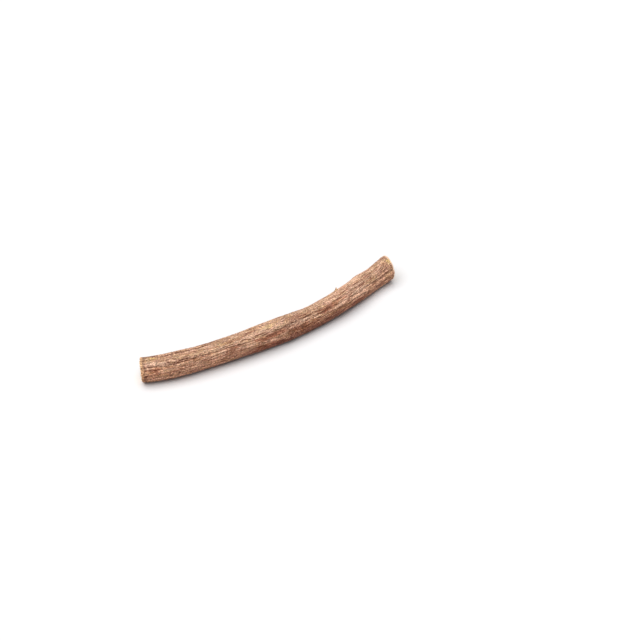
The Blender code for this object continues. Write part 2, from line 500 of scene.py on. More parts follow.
def pits(distance, angle):
    """Depth of the small round pits and of the pit in each scar."""
    depth = np.zeros_like(distance)
    for place, degrees, radius, deep in PITS:
        sizes = (PIT_STRETCH * radius * MM, radius * MM)
        lengthwise, sideways = from_spot(distance, angle, place, degrees, *sizes)
        depth = depth + deep * MM * np.exp(-(lengthwise**2 + sideways**2))
    for place, degrees, radius, bump in SCARS:
        sizes = (SCAR_PIT_LENGTH * radius * MM, SCAR_PIT_WIDTH * radius * MM)
        lengthwise, sideways = from_spot(distance, angle, place, degrees, *sizes)
        deep = min(bump, SCAR_HEIGHT_LIMIT_MM) * SCAR_PIT_DEPTH * MM
        depth = depth + deep * np.exp(-((lengthwise**2 + sideways**2) ** 1.5))
    return depth


print("pits:", len(PITS) + len(SCARS))

# %% [markdown]
# ## Scraped, stained and worn patches, and patches of painted shade
# Here and there the outer bark was rubbed off when the root was washed and cut, and the yellow
# inner bark shows. Other places are stained a dark reddish brown, or worn pale on a ridge. A few
# dark patches on the lower side are painted shade. Each patch is an oval with a ragged edge. A
# scrape is sunk a little, because a skin is missing, and the same measures later tell the material
# where to change its colour. The patches could be painted on the mesh with a brush, but a list is
# easier to read and to change.

# %% Scrapes, stains and worn ridges
# (share of length, degrees from the top, half length mm, half width mm, strength)
SCRAPES = (
    (0.045, -6, 2.2, 0.9, 0.9),
    (0.447, 8, 5.5, 1.9, 0.3),
    (0.275, 15, 5.0, 1.5, 0.2),
    (0.992, 17, 2.0, 1.7, 0.65),
    (0.30, 118, 3.5, 0.9, 0.8),
    (0.70, -110, 7.0, 1.6, 0.8),
    (0.42, -150, 4.0, 1.3, 0.7),
    (0.86, 150, 4.5, 1.2, 0.8),
)
STAINS_AND_SHADE = (
    (0.042, 60, 4.6, 2.2, 0.95),
    (0.297, 57, 4.0, 1.9, 0.95),
    (0.07, 2, 9.0, 1.8, 0.4),
    (0.44, 54, 13.0, 1.7, 0.8),
    (0.31, 73, 8.0, 1.4, 0.45),
    (0.56, 17, 10.0, 2.6, 0.5),
    (0.565, 72, 12.0, 3.2, 1.0),
    (0.685, 40, 11.0, 1.9, 1.0),
    (0.69, 78, 10.0, 1.6, 0.7),
    # Painted shade: the next three patches darken the lower side, near 100 degrees from the top
    (0.81, 98, 11.0, 2.2, 0.9),
    (0.43, 104, 14.0, 2.6, 1.0),
    (0.62, 100, 14.0, 2.4, 0.6),
    (0.17, 47, 8.0, 1.0, 0.5),
    (0.20, -120, 6.0, 2.2, 0.6),
    (0.55, -100, 8.0, 2.4, 0.6),
    (0.75, 170, 7.0, 2.2, 0.6),
    (0.48, 150, 9.0, 2.4, 0.6),
    (0.93, -130, 5.0, 2.0, 0.6),
)
WORN = (
    (0.735, 54, 8.0, 1.2, 0.8),
    (0.06, 37, 7.0, 1.3, 0.8),
    (0.19, 90, 8.0, 1.6, 0.5),
    (0.44, 76, 8.0, 1.2, 0.5),
    (0.44, 14, 9.0, 2.6, 0.6),
    (0.55, 42, 9.0, 1.6, 0.6),
    (0.81, 66, 10.0, 3.0, 1.0),
    (0.82, 18, 10.0, 1.6, 0.7),
    (0.93, 24, 7.0, 1.5, 0.3),
    (0.62, -18, 16.0, 3.0, 0.4),
    (0.86, -22, 12.0, 3.0, 0.3),
    (0.36, 66, 7.0, 0.9, 0.6),
    (0.30, -80, 9.0, 1.4, 0.6),
    (0.80, -120, 9.0, 1.6, 0.6),
    (0.15, 130, 8.0, 1.3, 0.6),
)
print("patches:", len(SCRAPES), "scraped,", len(STAINS_AND_SHADE), "stained,", len(WORN), "worn")

# %% How a patch covers the bark
SCRAPE_DEPTH = 0.12 * MM
SCRAPE_SMOOTHING = 0.4  # share of the crinkles' height that a scrape takes away
RAGGED_SHARE = 0.75  # how far the edge of a patch frays, as a share of its size
RAGGED_WIDTH = 0.6 * MM
RAGGED_LENGTH = 1.8 * MM
SCRAPE_SEED = 7
STAIN_AND_SHADE_SEED = 19
WORN_SEED = 31


def patches(table, distance, angle, seed):
    """How strongly the patches of a table cover each point, from 0 to 1."""
    cover = np.zeros_like(distance)
    edge = noise_column(distance, angle, RAGGED_WIDTH, RAGGED_LENGTH, (seed, 77, 5))
    ragged = RAGGED_SHARE * edge
    for place, degrees, long, wide, strength in table:
        lengthwise, sideways = from_spot(distance, angle, place, degrees, long * MM, wide * MM)
        inside = 1 - np.sqrt(lengthwise**2 + sideways**2) + ragged
        cover = np.maximum(cover, strength * np.clip(inside * 2, 0, 1))
    return cover


middle_stain_and_shade = patches(STAINS_AND_SHADE, middle_distance, middle_angle, STAIN_AND_SHADE_SEED)
print("stained round the middle:", middle_stain_and_shade.round(2))

# %% [markdown]
# ## How the bark changes along the root
# Apart from single patches, the bark differs from one stretch of the root to the next. It is
# darkest a little past the middle, its flecks are drawn out in two stretches, its crinkles hold
# less dirt from the middle on, and the painted shade on its underside is strongest there. These
# changes could be brushed on too, but short tables joined by smooth curves are easier to tune.

# %% Changes along the root
# Brightness that is added to the bark, and how far its flecks are drawn out
TONE = (
    (0.0, 0.0), (0.1, 0.0), (0.28, -0.04), (0.42, 0.02),
    (0.57, -0.13), (0.72, 0.0), (0.84, 0.02), (1.0, -0.02),
)
LONG_GRAIN = (
    (0.0, 0.0), (0.15, 0.05), (0.28, 0.25), (0.42, 0.35),
    (0.55, 0.0), (0.68, 0.35), (0.8, 0.5), (1.0, 0.0),
)
# How strong the dirt in the crinkles is, and how strong the painted shade on the underside is
DIRT = ((0.0, 1.0), (0.36, 1.0), (0.45, 0.75), (0.58, 0.6), (0.7, 0.75), (1.0, 0.75))
UNDERSIDE_SHADE_STRENGTH = (
    (0.0, 0.1), (0.2, 0.15), (0.33, 0.45), (0.45, 1.0), (0.78, 0.9), (0.9, 0.35), (1.0, 0.1)
)
print("brightness at the middle:", round(along(TONE, 0.5), 2), "dirt:", round(along(DIRT, 0.5), 2))

# %% [markdown]
# ## From the bar to the bent root
# Every piece that grows from the root is placed by one rule: a distance along the root, an angle
# round it and a reach from its middle line give one point in space. The same rule slides the last
# stretch at each end, so that the cuts run aslant. A Curve modifier could bend a straight mesh as
# well, but this rule carries the bark, the torn fibres and the flakes over alike.

# %% Placing a point on the bent root
# Slant of each cut: how far the cut runs along the root for each unit sideways and upwards
START_CUT_SLOPE = (0.06, -0.05)
END_CUT_SLOPE = (0.25, 0.02)
CUT_REACH = 13 * MM  # length over which the rings turn from square to the slant of the cut


def cut_shift(distance, sideways, upwards):
    """How far a point slides along the root so that the end rings lie in the slanted cuts."""
    shift = np.zeros_like(distance)
    for slope, away in ((START_CUT_SLOPE, distance), (END_CUT_SLOPE, LENGTH - distance)):
        weight = np.clip(1 - away / CUT_REACH, 0, 1) ** 1.5
        shift = shift + weight * (slope[0] * sideways + slope[1] * upwards)
    return shift


def place_on_root(distance, angle, reach):
    """Places of points at a distance along the root, an angle round it and a reach."""
    share = np.clip(distance / LENGTH, 0, 1)
    upwards = reach * np.cos(angle)
    sideways = -reach * np.sin(angle)
    heading = np.interp(share, line_shares, line_heading)
    ahead = cut_shift(np.clip(distance, 0, LENGTH), sideways, upwards) + distance - share * LENGTH
    underside = along_many(RADIUS_MM, share) * section_factor(share, np.full_like(share, math.pi))
    x = np.interp(share, line_shares, line_x) + ahead * np.cos(heading) - sideways * np.sin(heading)
    y = np.interp(share, line_shares, line_y) + ahead * np.sin(heading) + sideways * np.cos(heading)
    z = (underside + along_many(LIFT_MM, share)) * MM + upwards
    return np.column_stack([x, y, np.maximum(z, 0)])


def bar_columns(bm):
    """A mesh's points on the straight bar, and the distance, angle and share of the radius of each."""
    points = np.array([vertex.co for vertex in bm.verts])
    angle = np.arctan2(points[:, 1], points[:, 0])
    return points, points[:, 2], angle, np.hypot(points[:, 0], points[:, 1]) / BAR_RADIUS


far_end = place_on_root(np.array([LENGTH]), np.zeros(1), np.array([BAR_RADIUS]))[0]
print("top of the second cut, mm:", np.round(far_end / MM, 1))

# %% [markdown]
# ## Modelling the bar
# The bar starts as a closed cylinder. Its two rims are bevelled, its sides are cut into short
# rings, and each flat end is inset again and again, so that the wood of the cuts can be carved
# as finely as the bark. A plane cut could make the ends too, but rings follow growth rings.

# %% A straight bar with ringed ends
FACETS_ROUND = 264
RINGS_LENGTHWISE = 312
RIM_STEPS = 3
CUT_RING_WIDTH = 0.32 * MM
CUT_RINGS = 17


def straight_bar():
    """A closed round bar along Z with worn rims, rings along its length and ringed cut faces."""
    bm = bmesh.new()
    bmesh.ops.create_cone(
        bm, cap_ends=True, segments=FACETS_ROUND, radius1=BAR_RADIUS, radius2=BAR_RADIUS, depth=LENGTH
    )
    bmesh.ops.translate(bm, verts=bm.verts, vec=(0, 0, LENGTH / 2))
    rims = [e for e in bm.edges if abs(e.verts[0].co.z - e.verts[1].co.z) < LENGTH / 2]
    bmesh.ops.bevel(
        bm, geom=rims, offset=RIM_ROUNDING, segments=RIM_STEPS, profile=0.5, affect="EDGES", material=-1
    )
    lengthwise = [e for e in bm.edges if abs(e.verts[0].co.z - e.verts[1].co.z) > LENGTH / 2]
    bmesh.ops.subdivide_edges(bm, edges=lengthwise, cuts=RINGS_LENGTHWISE - 1)

    cut_faces = [f for f in bm.faces if len(f.verts) == FACETS_ROUND]
    for _ in range(CUT_RINGS):
        made = bmesh.ops.inset_individual(bm, faces=cut_faces, thickness=CUT_RING_WIDTH)
        for face in made["faces"] + cut_faces:
            face.material_index = 1
    centre = bmesh.ops.poke(bm, faces=cut_faces)
    for face in centre["faces"]:
        face.material_index = 1
    return bm


bar = straight_bar()
print("bar:", len(bar.verts), "points,", len(bar.faces), "faces")

# %% [markdown]
# ## Carving the cuts
# A cut face is never a plain disc. The knife leaves it a little dished, torn fibres stand in
# tufts, the wood shrinks in rays from the middle, short cracks run out from the pith, and a groove
# runs where the bark meets the wood. Bump in the material would do for the finest rays alone. The
# rest is carved, so that it casts real shadows and is still there after an export.

# %% Relief of the cut faces
CUTS = ((0, -1), (LENGTH, 1))  # where each cut is on the bar, and which way it faces
CUT_SEED = 3
BARK_RING = 0.60  # share of the radius where the bark meets the wood
CUT_DISH = 0.30 * MM
RAY_HEIGHT = 0.14 * MM
RAY_FINENESS = 9
TUFT_HEIGHT = 0.16 * MM
TUFT_FINENESS = 12
SMALL_TUFT_FINENESS = 27
SMALL_TUFT_SHARE = 0.6
GROOVE_DEPTH = 0.12 * MM
GROOVE_WIDTH = 0.03  # share of the radius
RIM_FADE = 12  # the relief dies out over a twelfth of the radius
# Short cracks: (direction in degrees, share of the radius at which it ends)
SPLITS = ((24, 0.42), (97, 0.30), (168, 0.55), (251, 0.36), (305, 0.50))
SPLIT_DEPTH = 0.6 * MM
SPLIT_WIDTH = 0.10 * MM
SPLIT_BEND = 0.5
SPLIT_TURN = 31  # degrees that the cracks are turned on, so that the two cuts differ


def cut_relief(reach_share, angle, seed):
    """How far a point of a cut face stands out along the root."""
    height = np.zeros_like(angle)
    for row, (reach, turn) in enumerate(zip(reach_share, angle)):
        x, y = math.cos(turn), math.sin(turn)
        ray = noise.noise((x * RAY_FINENESS, y * RAY_FINENESS, reach * 1.5 + seed)) * min(1, reach * 2)
        across, back = x * reach, y * reach
        tuft = noise.noise((across * TUFT_FINENESS, back * TUFT_FINENESS, seed + 20))
        small = noise.noise((across * SMALL_TUFT_FINENESS, back * SMALL_TUFT_FINENESS, seed + 50))
        height[row] = RAY_HEIGHT * ray + TUFT_HEIGHT * (tuft + SMALL_TUFT_SHARE * small)
    height = height - CUT_DISH * (1 - reach_share**2)
    height = height - GROOVE_DEPTH * np.exp(-(((reach_share - BARK_RING) / GROOVE_WIDTH) ** 2))
    for row, (degrees, far) in enumerate(SPLITS):
        bend = [noise.noise((reach * 5, row * 7.7, seed)) * SPLIT_BEND for reach in reach_share]
        direction = math.radians(degrees + seed * SPLIT_TURN) + np.array(bend)
        aside = arc_between(angle, direction) * reach_share * BAR_RADIUS
        inside = np.clip((far - reach_share) * 8, 0, 1) * np.clip(reach_share * 9, 0, 1)
        height = height - SPLIT_DEPTH * inside * np.exp(-((aside / SPLIT_WIDTH) ** 2))
    return height * np.clip((1 - reach_share) * RIM_FADE, 0, 1)


cut_middle = cut_relief(np.zeros(1), np.zeros(1), CUT_SEED - 1)
print("middle of the first cut against its rim, mm:", np.round(cut_middle / MM, 2))

# %% [markdown]
# ## Carving the bar and bending it
# Every point of the bar now gets its reach from the middle line: the coarse radius, plus the
# crinkles, less the fissures, cracks, pits and scrapes. Sculpting by hand could give such a skin,
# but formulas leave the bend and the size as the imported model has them. The points of the two cut
# faces are moved lengthwise too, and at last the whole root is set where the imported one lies.

# %% Carve the bar and bend it
points, distance, angle, reach_share = bar_columns(bar)
distance = np.clip(distance, 0, LENGTH)
fine_height, crinkle_depth = crinkles(distance, angle)
scrape = patches(SCRAPES, distance, angle, SCRAPE_SEED)
fissure_depth = fissures(distance, angle)
pit_depth = pits(distance, angle)
skin = coarse_radius(distance, angle) + fine_height * (1 - SCRAPE_SMOOTHING * scrape) - fissure_depth
skin = skin - cross_cracks(distance, angle) - pit_depth - SCRAPE_DEPTH * scrape
outward = np.zeros_like(distance)
for cut, side in CUTS:
    on_cut = np.abs(distance - cut) < 1e-6
    outward[on_cut] = side * cut_relief(reach_share[on_cut], angle[on_cut], CUT_SEED + side)

carved = place_on_root(distance, angle, skin * reach_share)
heading = np.interp(distance / LENGTH, line_shares, line_heading)
carved[:, 0] += outward * np.cos(heading)
carved[:, 1] += outward * np.sin(heading)

node_low, node_high = (np.array(corner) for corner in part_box("licorice_root"))
to_frame = (node_low + node_high) / 2 - (carved.min(axis=0) + carved.max(axis=0)) / 2
to_frame[2] = 0
carved += to_frame
for vertex, place in zip(bar.verts, carved):
    vertex.co = place
print("carved root, mm:", np.round((carved.max(axis=0) - carved.min(axis=0)) / MM, 2))

# %% [markdown]
# ## One mesh, with notes for its finishes
# The carved bar becomes one object. Each point also keeps a few notes: where it was on the
# straight bar, how deep it lies in a crinkle, and which patches cover it. The materials read these
# notes, so that grain runs along the bend and dirt lies in the furrows, and nothing slides.

# %% Make a piece of the model
def note(mesh, name, values):
    """Keeps one number, or one place in millimetres, at every point of a mesh."""
    kind = "FLOAT_VECTOR" if values.ndim == 2 else "FLOAT"
    field = "vector" if values.ndim == 2 else "value"
    mesh.attributes.new(name, kind, "POINT").data.foreach_set(field, values.astype(np.float32).ravel())


def make_piece(bm, name, notes):
    """Turns a finished bmesh into an object that moves with the root."""
    bmesh.ops.recalc_face_normals(bm, faces=bm.faces)
    mesh = bpy.data.meshes.new(name)
    bm.to_mesh(mesh)
    bm.free()
    mesh.shade_smooth()
    for label, values in notes.items():
        note(mesh, label, values)
    piece = bpy.data.objects.new(name, mesh)
    bpy.context.scene.collection.objects.link(piece)
    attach(piece, "root")
    return piece


# %% [markdown]
# ## The root's own mesh
# The bark's notes come from the same columns of numbers that carved it, so colour and shape
# agree: the dirt lies in the low ground, and a fissure is dark where it is deep. They could be
# brushed on as vertex paint, but then they wouldn't follow a change of the relief. The finished
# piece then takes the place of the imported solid.

# %% The root's own mesh
DIRTY_DEPTH = 0.3 * MM  # a fissure or pit this deep is full of dirt
coarse = coarse_wrinkles(distance, angle) / WRINKLE_HEIGHT + WRINKLE_MIDDLE
furrow_share = furrow(distance / LENGTH, angle) / FURROW_DEPTH
root_notes = {
    "bar_mm": points / MM,
    "crinkle_depth": crinkle_depth,
    "low_ground": np.clip(0.5 * (1 - coarse) + 0.5 * furrow_share, 0, 1),
    "fissured": np.clip(fissure_depth / DIRTY_DEPTH + pit_depth / DIRTY_DEPTH, 0, 1),
    "scraped": scrape,
    # Stains, and painted shade on the lower side
    "stain_and_shade": patches(STAINS_AND_SHADE, distance, angle, STAIN_AND_SHADE_SEED),
    "worn_pale": patches(WORN, distance, angle, WORN_SEED),
    "tone": along_many(TONE, distance / LENGTH),
    "long_grain": along_many(LONG_GRAIN, distance / LENGTH),
    "dirty": along_many(DIRT, distance / LENGTH),
    # How strongly painted shade darkens the underside, along the root
    "underside": along_many(UNDERSIDE_SHADE_STRENGTH, distance / LENGTH),
}
root = make_piece(bar, "licorice_root_fine", root_notes)
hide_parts("licorice_root")
print("crinkle depth from", crinkle_depth.min().round(2), "to", crinkle_depth.max().round(2))

# %% [markdown]
# ## Torn fibres at the cuts
# Licorice wood is so fibrous that a knife never leaves it clean: short torn ends stand out of both
# cuts. Hair would be the quick way, but hair isn't a mesh and is lost on export. So each fibre is
# a thin closed cone, sunk well into the wood. They are drawn on the straight bar and then carried
# over to the bent root by the same rule as the bark.

# %% Torn fibres
FIBRES_A_CUT = 150
FIBRE_SIDES = 5
FIBRE_RADIUS = (0.05 * MM, 0.12 * MM)
FIBRE_OUT = (0.15 * MM, 0.75 * MM)
FIBRE_SUNK = 0.6 * MM
FIBRE_TIP = 0.3  # radius of the tip, as a share of the radius at the foot
FIBRE_TILT = 22  # degrees at most, each way
FIBRES_WITHIN = BAR_RADIUS * 0.93


def carry_over(bm):
    """Moves a mesh drawn on the straight bar to its place on the bent root."""
    points, distance, angle, reach_share = bar_columns(bm)
    skin = coarse_radius(np.clip(distance, 0, LENGTH), angle)
    places = place_on_root(distance, angle, skin * reach_share) + to_frame
    for vertex, place in zip(bm.verts, places):
        vertex.co = place
    return points


def add_fibre(bm, cut, side):
    """One fibre near a cut, leaning a little, thicker where it is sunk in the wood."""
    out = dice.uniform(*FIBRE_OUT)
    radius = dice.uniform(*FIBRE_RADIUS)
    length = out + FIBRE_SUNK
    reach = FIBRES_WITHIN * math.sqrt(dice.uniform(0.02, 1))
    turn = dice.uniform(0, math.tau)
    tip = radius * FIBRE_TIP
    cone = bmesh.ops.create_cone(
        bm, cap_ends=True, segments=FIBRE_SIDES, radius1=radius, radius2=tip, depth=length
    )
    bmesh.ops.translate(bm, verts=cone["verts"], vec=(0, 0, length / 2 - FIBRE_SUNK))
    lean = Matrix.Rotation(math.radians(dice.uniform(-FIBRE_TILT, FIBRE_TILT)), 4, "X")
    aside = Matrix.Rotation(math.radians(dice.uniform(-FIBRE_TILT, FIBRE_TILT)), 4, "Y")
    face_out = Matrix.Rotation(0 if side > 0 else math.pi, 4, "X")
    move = Matrix.Translation((reach * math.cos(turn), reach * math.sin(turn), cut))
    bmesh.ops.transform(bm, matrix=move @ face_out @ aside @ lean, verts=cone["verts"])


fibres = bmesh.new()
for cut, side in CUTS:
    for _ in range(FIBRES_A_CUT):
        add_fibre(fibres, cut, side)
fibre_points = carry_over(fibres)
torn_fibres = make_piece(fibres, "torn_fibres", {"bar_mm": fibre_points / MM})
print("torn fibres:", len(torn_fibres.data.polygons), "faces")

# %% [markdown]
# ## Loose flakes of bark
# Where the bark was bumped, thin slivers of it lift at one end. A paper-thin plane would do for a
# picture, but a closed sliver also survives as a solid mesh. Each starts as a cube that is cut
# lengthwise, tapered, and lifted along a curve, while its foot stays under the bark. The first of
# them is the thick pale barb that stands up on the far edge in the photograph.

# %% Bark flakes
FLAKE_CUTS = 5
FLAKE_THICKNESS = 0.16  # mm
FLAKE_TAPER = 0.8  # share of its width that a flake loses towards its tip
FLAKE_THINNING = 0.6  # the same for its thickness
FLAKE_SUNK = 0.14  # mm that the foot lies under the skin
FLAKE_WAVE = 0.12 * MM
# (share of length, degrees from the top, length mm, width mm, thickness mm, lift mm, turn in degrees)
FLAKES = [
    (0.760, -42, 2.4, 2.2, 0.8, 1.2, 30),
    (0.12, 22, 2.6, 0.6, FLAKE_THICKNESS, 0.35, -8),
    (0.355, 70, 3.2, 0.7, FLAKE_THICKNESS, 0.40, 10),
    (0.58, 6, 2.4, 0.6, FLAKE_THICKNESS, 0.35, 14),
    (0.90, 44, 2.8, 0.7, FLAKE_THICKNESS, 0.40, -12),
]
FLAKE_DRAWS = 20
for _ in range(FLAKE_DRAWS):
    turn = dice.choice((dice.uniform(20, 140), dice.uniform(-140, -25)))
    size = (dice.uniform(1.6, 3.6), dice.uniform(0.35, 0.8), FLAKE_THICKNESS, dice.uniform(0.2, 0.5))
    FLAKES.append((dice.uniform(0.04, 0.95), turn, *size, dice.uniform(-20, 20)))


def add_flake(bm, share, degrees, length, width, thickness, lift, turn):
    """One sliver, thin along X, wide along Y and long along Z, moved onto the bar's skin."""
    earlier_points = len(bm.verts)
    cube = bmesh.ops.create_cube(bm, size=1)
    edges = {edge for vertex in cube["verts"] for edge in vertex.link_edges}
    lengthwise = [e for e in edges if abs(e.verts[0].co.z - e.verts[1].co.z) > 0.5]
    bmesh.ops.subdivide_edges(bm, edges=lengthwise, cuts=FLAKE_CUTS)
    own = list(bm.verts)[earlier_points:]
    stretch = Matrix.Diagonal((thickness * MM, width * MM, length * MM, 1))
    bmesh.ops.transform(bm, matrix=stretch, verts=own)
    for vertex in own:
        u = max(vertex.co.z / (length * MM) + 0.5, 0)
        vertex.co.y *= 1 - FLAKE_TAPER * u**1.5
        vertex.co.x *= 1 - FLAKE_THINNING * u
        vertex.co.x += (lift * u**2 - FLAKE_SUNK) * MM + FLAKE_WAVE * math.cos(9 * u + share * 40)
    yaw = Matrix.Rotation(math.radians(turn), 4, "X")
    onto_skin = Matrix.Translation((BAR_RADIUS, 0, 0))
    place = Matrix.Translation((0, 0, share * LENGTH)) @ Matrix.Rotation(math.radians(degrees), 4, "Z")
    bmesh.ops.transform(bm, matrix=place @ onto_skin @ yaw, verts=own)


flakes = bmesh.new()
for flake in FLAKES:
    add_flake(flakes, *flake)
flake_points = carry_over(flakes)
flake_notes = {
    "bar_mm": flake_points / MM,
    "crinkle_depth": np.full(len(flake_points), 0.2),
    "dirty": np.ones(len(flake_points)),
    "scraped": np.full(len(flake_points), 0.25),
}
bark_flakes = make_piece(flakes, "bark_flakes", flake_notes)
print("flakes:", len(FLAKES), "with", len(bark_flakes.data.polygons), "faces")

# %% [markdown]
# ## Building materials from nodes
# A node tree can be clicked together in the editor. In a script, a few small helpers keep it
# readable: one adds a node and wires its inputs, and the others mix two colours by a mask, stretch
# a range of values, add, multiply, shade a colour, or read one of the notes kept at each point.

# %% Helpers for node trees
def wire(tree, made, wires):
    """Gives each input of a node, by name or number, a value or another node's output."""
    for place, value in wires.items():
        if isinstance(value, bpy.types.NodeSocket):
            tree.links.new(value, made.inputs[place])
        else:
            made.inputs[place].default_value = value
    return made


def add(tree, kind, wires=None, **settings):
    """Adds a node with its settings and wires its inputs."""
    made = tree.nodes.new(kind)
    for name, value in settings.items():
        setattr(made, name, value)
    return wire(tree, made, wires or {})


def mix(tree, mask, first, second, blend="MIX"):
    """The first colour where the mask is 0, and the second laid over it where the mask is 1."""
    wires = {0: mask, 6: first, 7: second}
    return add(tree, "ShaderNodeMix", wires, data_type="RGBA", blend_type=blend).outputs[2]


def span(tree, value, low, high, to_low=0.0, to_high=1.0):
    """Stretches the values between low and high to a new range, softly at both ends."""
    wires = {"Value": value, "From Min": low, "From Max": high, "To Min": to_low, "To Max": to_high}
    return add(tree, "ShaderNodeMapRange", wires, interpolation_type="SMOOTHSTEP").outputs["Result"]


def sum_of(tree, first, second):
    """Two values added at every point."""
    return add(tree, "ShaderNodeMath", {0: first, 1: second}, operation="ADD").outputs[0]


def product(tree, first, second):
    """Two values multiplied at every point."""
    return add(tree, "ShaderNodeMath", {0: first, 1: second}, operation="MULTIPLY").outputs[0]


def between(tree, share, first, second):
    """A value that goes from the first to the second as the share goes from 0 to 1."""
    return add(tree, "ShaderNodeMix", {0: share, 2: first, 3: second}).outputs[0]


def shaded(tree, colour, factor):
    """A colour made lighter or darker by a factor that changes over the surface."""
    wires = {0: colour, "Scale": factor}
    return add(tree, "ShaderNodeVectorMath", wires, operation="SCALE").outputs[0]


def attribute(tree, name):
    """The node that reads one of the notes kept at each point of a mesh."""
    return add(tree, "ShaderNodeAttribute", attribute_name=name)


# %% [markdown]
# ## A shared effect: long fibres
# The bark's long streaks, its changes of hue, its short flecks and its drawn-out flecks are one
# thing on other scales: fibres that run along the root. The same nodes could be copied for each,
# but a group is built once and placed four times with its own values. It is noise on the bar's
# own coordinates, with a number of fibres to the millimetre across the root and along it.

# %% Group: long fibres
FIBRE_INPUTS = ("Per mm across", "Per mm along")


def long_fibres_group():
    """The group: noise on a place that is stretched or squeezed along and across the root."""
    group = bpy.data.node_groups.new("long_fibres", "ShaderNodeTree")
    group.interface.new_socket(name="Place mm", in_out="INPUT", socket_type="NodeSocketVector")
    for label in FIBRE_INPUTS:
        group.interface.new_socket(name=label, in_out="INPUT", socket_type="NodeSocketFloat")
    for label in ("Broad", "Fine"):
        group.interface.new_socket(name=label, in_out="OUTPUT", socket_type="NodeSocketFloat")
    given = group.nodes.new("NodeGroupInput")
    result = group.nodes.new("NodeGroupOutput")
    across, lengthwise = (given.outputs[label] for label in FIBRE_INPUTS)
    squeeze = add(group, "ShaderNodeCombineXYZ", {"X": across, "Y": across, "Z": lengthwise}).outputs[0]
    wires = {0: given.outputs["Place mm"], 1: squeeze}
    squeezed = add(group, "ShaderNodeVectorMath", wires, operation="MULTIPLY").outputs[0]
    for label, scale, detail in (("Broad", 1.0, 3.0), ("Fine", 2.6, 2.0)):
        wires = {"Vector": squeezed, "Scale": scale, "Detail": detail, "Roughness": 0.6}
        made = add(group, "ShaderNodeTexNoise", {**wires, "Distortion": 0.7})
        group.links.new(made.outputs["Fac"], result.inputs[label])
    return group


long_fibres = long_fibres_group()


def fibres_at(tree, place, across, lengthwise):
    """The broad and the fine fibres, for a number of them to the millimetre each way."""
    made = add(tree, "ShaderNodeGroup", node_tree=long_fibres)
    wire(tree, made, {"Place mm": place, "Per mm across": across, "Per mm along": lengthwise})
    return made.outputs["Broad"], made.outputs["Fine"]


print("group:", long_fibres.name, [socket.name for socket in long_fibres.interface.items_tree])

# %% [markdown]
# ## The bark
# Dry licorice bark is matt. Its ridges are worn to a pinkish tan and its furrows keep a dark
# reddish brown. Long streaks of both run along it, with shorter flecks and specks between them,
# and under the skin lies yellow inner bark. A picture of bark could be wrapped round the root.
# Here the colours are laid over each other by masks, from the plain tan down to the dirt in the
# fissures, so that they fit the carved relief. Shade is painted in as well: on the underside, on
# the lower side's dark patches and in a line beside the first cut, and the rim of the second cut
# carries a painted highlight.

# %% Colours of the bark
BARK_DEEP = (0.095, 0.030, 0.016, 1)
BARK_BROWN = (0.32, 0.146, 0.086, 1)
BARK_ROSE = (0.48, 0.268, 0.188, 1)
BARK_GOLD = (0.49, 0.300, 0.174, 1)
BARK_PALE = (0.71, 0.480, 0.348, 1)
# Painted shade: these two colours tint the underside darker and redder
PAINTED_SHADE_TINT = (1.0, 0.86, 0.80, 1)
PAINTED_SHADE_DARK = (0.64, 0.54, 0.56, 1)
INNER_BARK = (0.76, 0.540, 0.200, 1)
RIM_ORANGE = (0.62, 0.370, 0.210, 1)
# Stains, and on the lower side painted shade
BARK_STAIN_AND_SHADE = (0.66, 0.50, 0.44, 1)
# Painted highlight on the worn rim of the second cut
RIM_HIGHLIGHT = (0.95, 0.680, 0.500, 1)
# How many streaks, stretches of one hue and flecks there are to the millimetre, across and along
STREAKS_PER_MM = (1.3, 0.055)
HUES_PER_MM = (0.5, 0.16)
SHORT_FLECKS_PER_MM = (1.7, 0.95)
LONG_FLECKS_PER_MM = (1.5, 0.28)
# How much darker and lighter the flecks and the finer specks make the bark
FLECK_RANGE = (0.36, 0.64)
FLECK_SHADES = (0.60, 1.42)
SPECK_SHADES = (0.46, 1.57)
BARK_BUMP = 0.3 * MM
print("darkest and lightest bark:", BARK_DEEP[:3], BARK_PALE[:3])


# %% Streaks of the bark
def finish(name):
    """A new material with its node tree and its shader."""
    material = bpy.data.materials.new(name)
    material.use_nodes = True
    return material, material.node_tree, material.node_tree.nodes["Principled BSDF"]


def bark_streaks(tree, place, depth):
    """The tan bark with its long brown and pale streaks, before any dirt."""
    broad, fine = fibres_at(tree, place, *STREAKS_PER_MM)
    hue, _ = fibres_at(tree, place, *HUES_PER_MM)
    tan = mix(tree, span(tree, hue, 0.40, 0.58), BARK_ROSE, BARK_GOLD)
    colour = mix(tree, span(tree, broad, 0.36, 0.54), BARK_BROWN, tan)
    ridge = product(tree, span(tree, depth, 0.35, 0.1), span(tree, fine, 0.42, 0.6))
    patch = product(tree, attribute(tree, "worn_pale").outputs["Fac"], 0.6)
    return mix(tree, sum_of(tree, ridge, patch), colour, BARK_PALE)


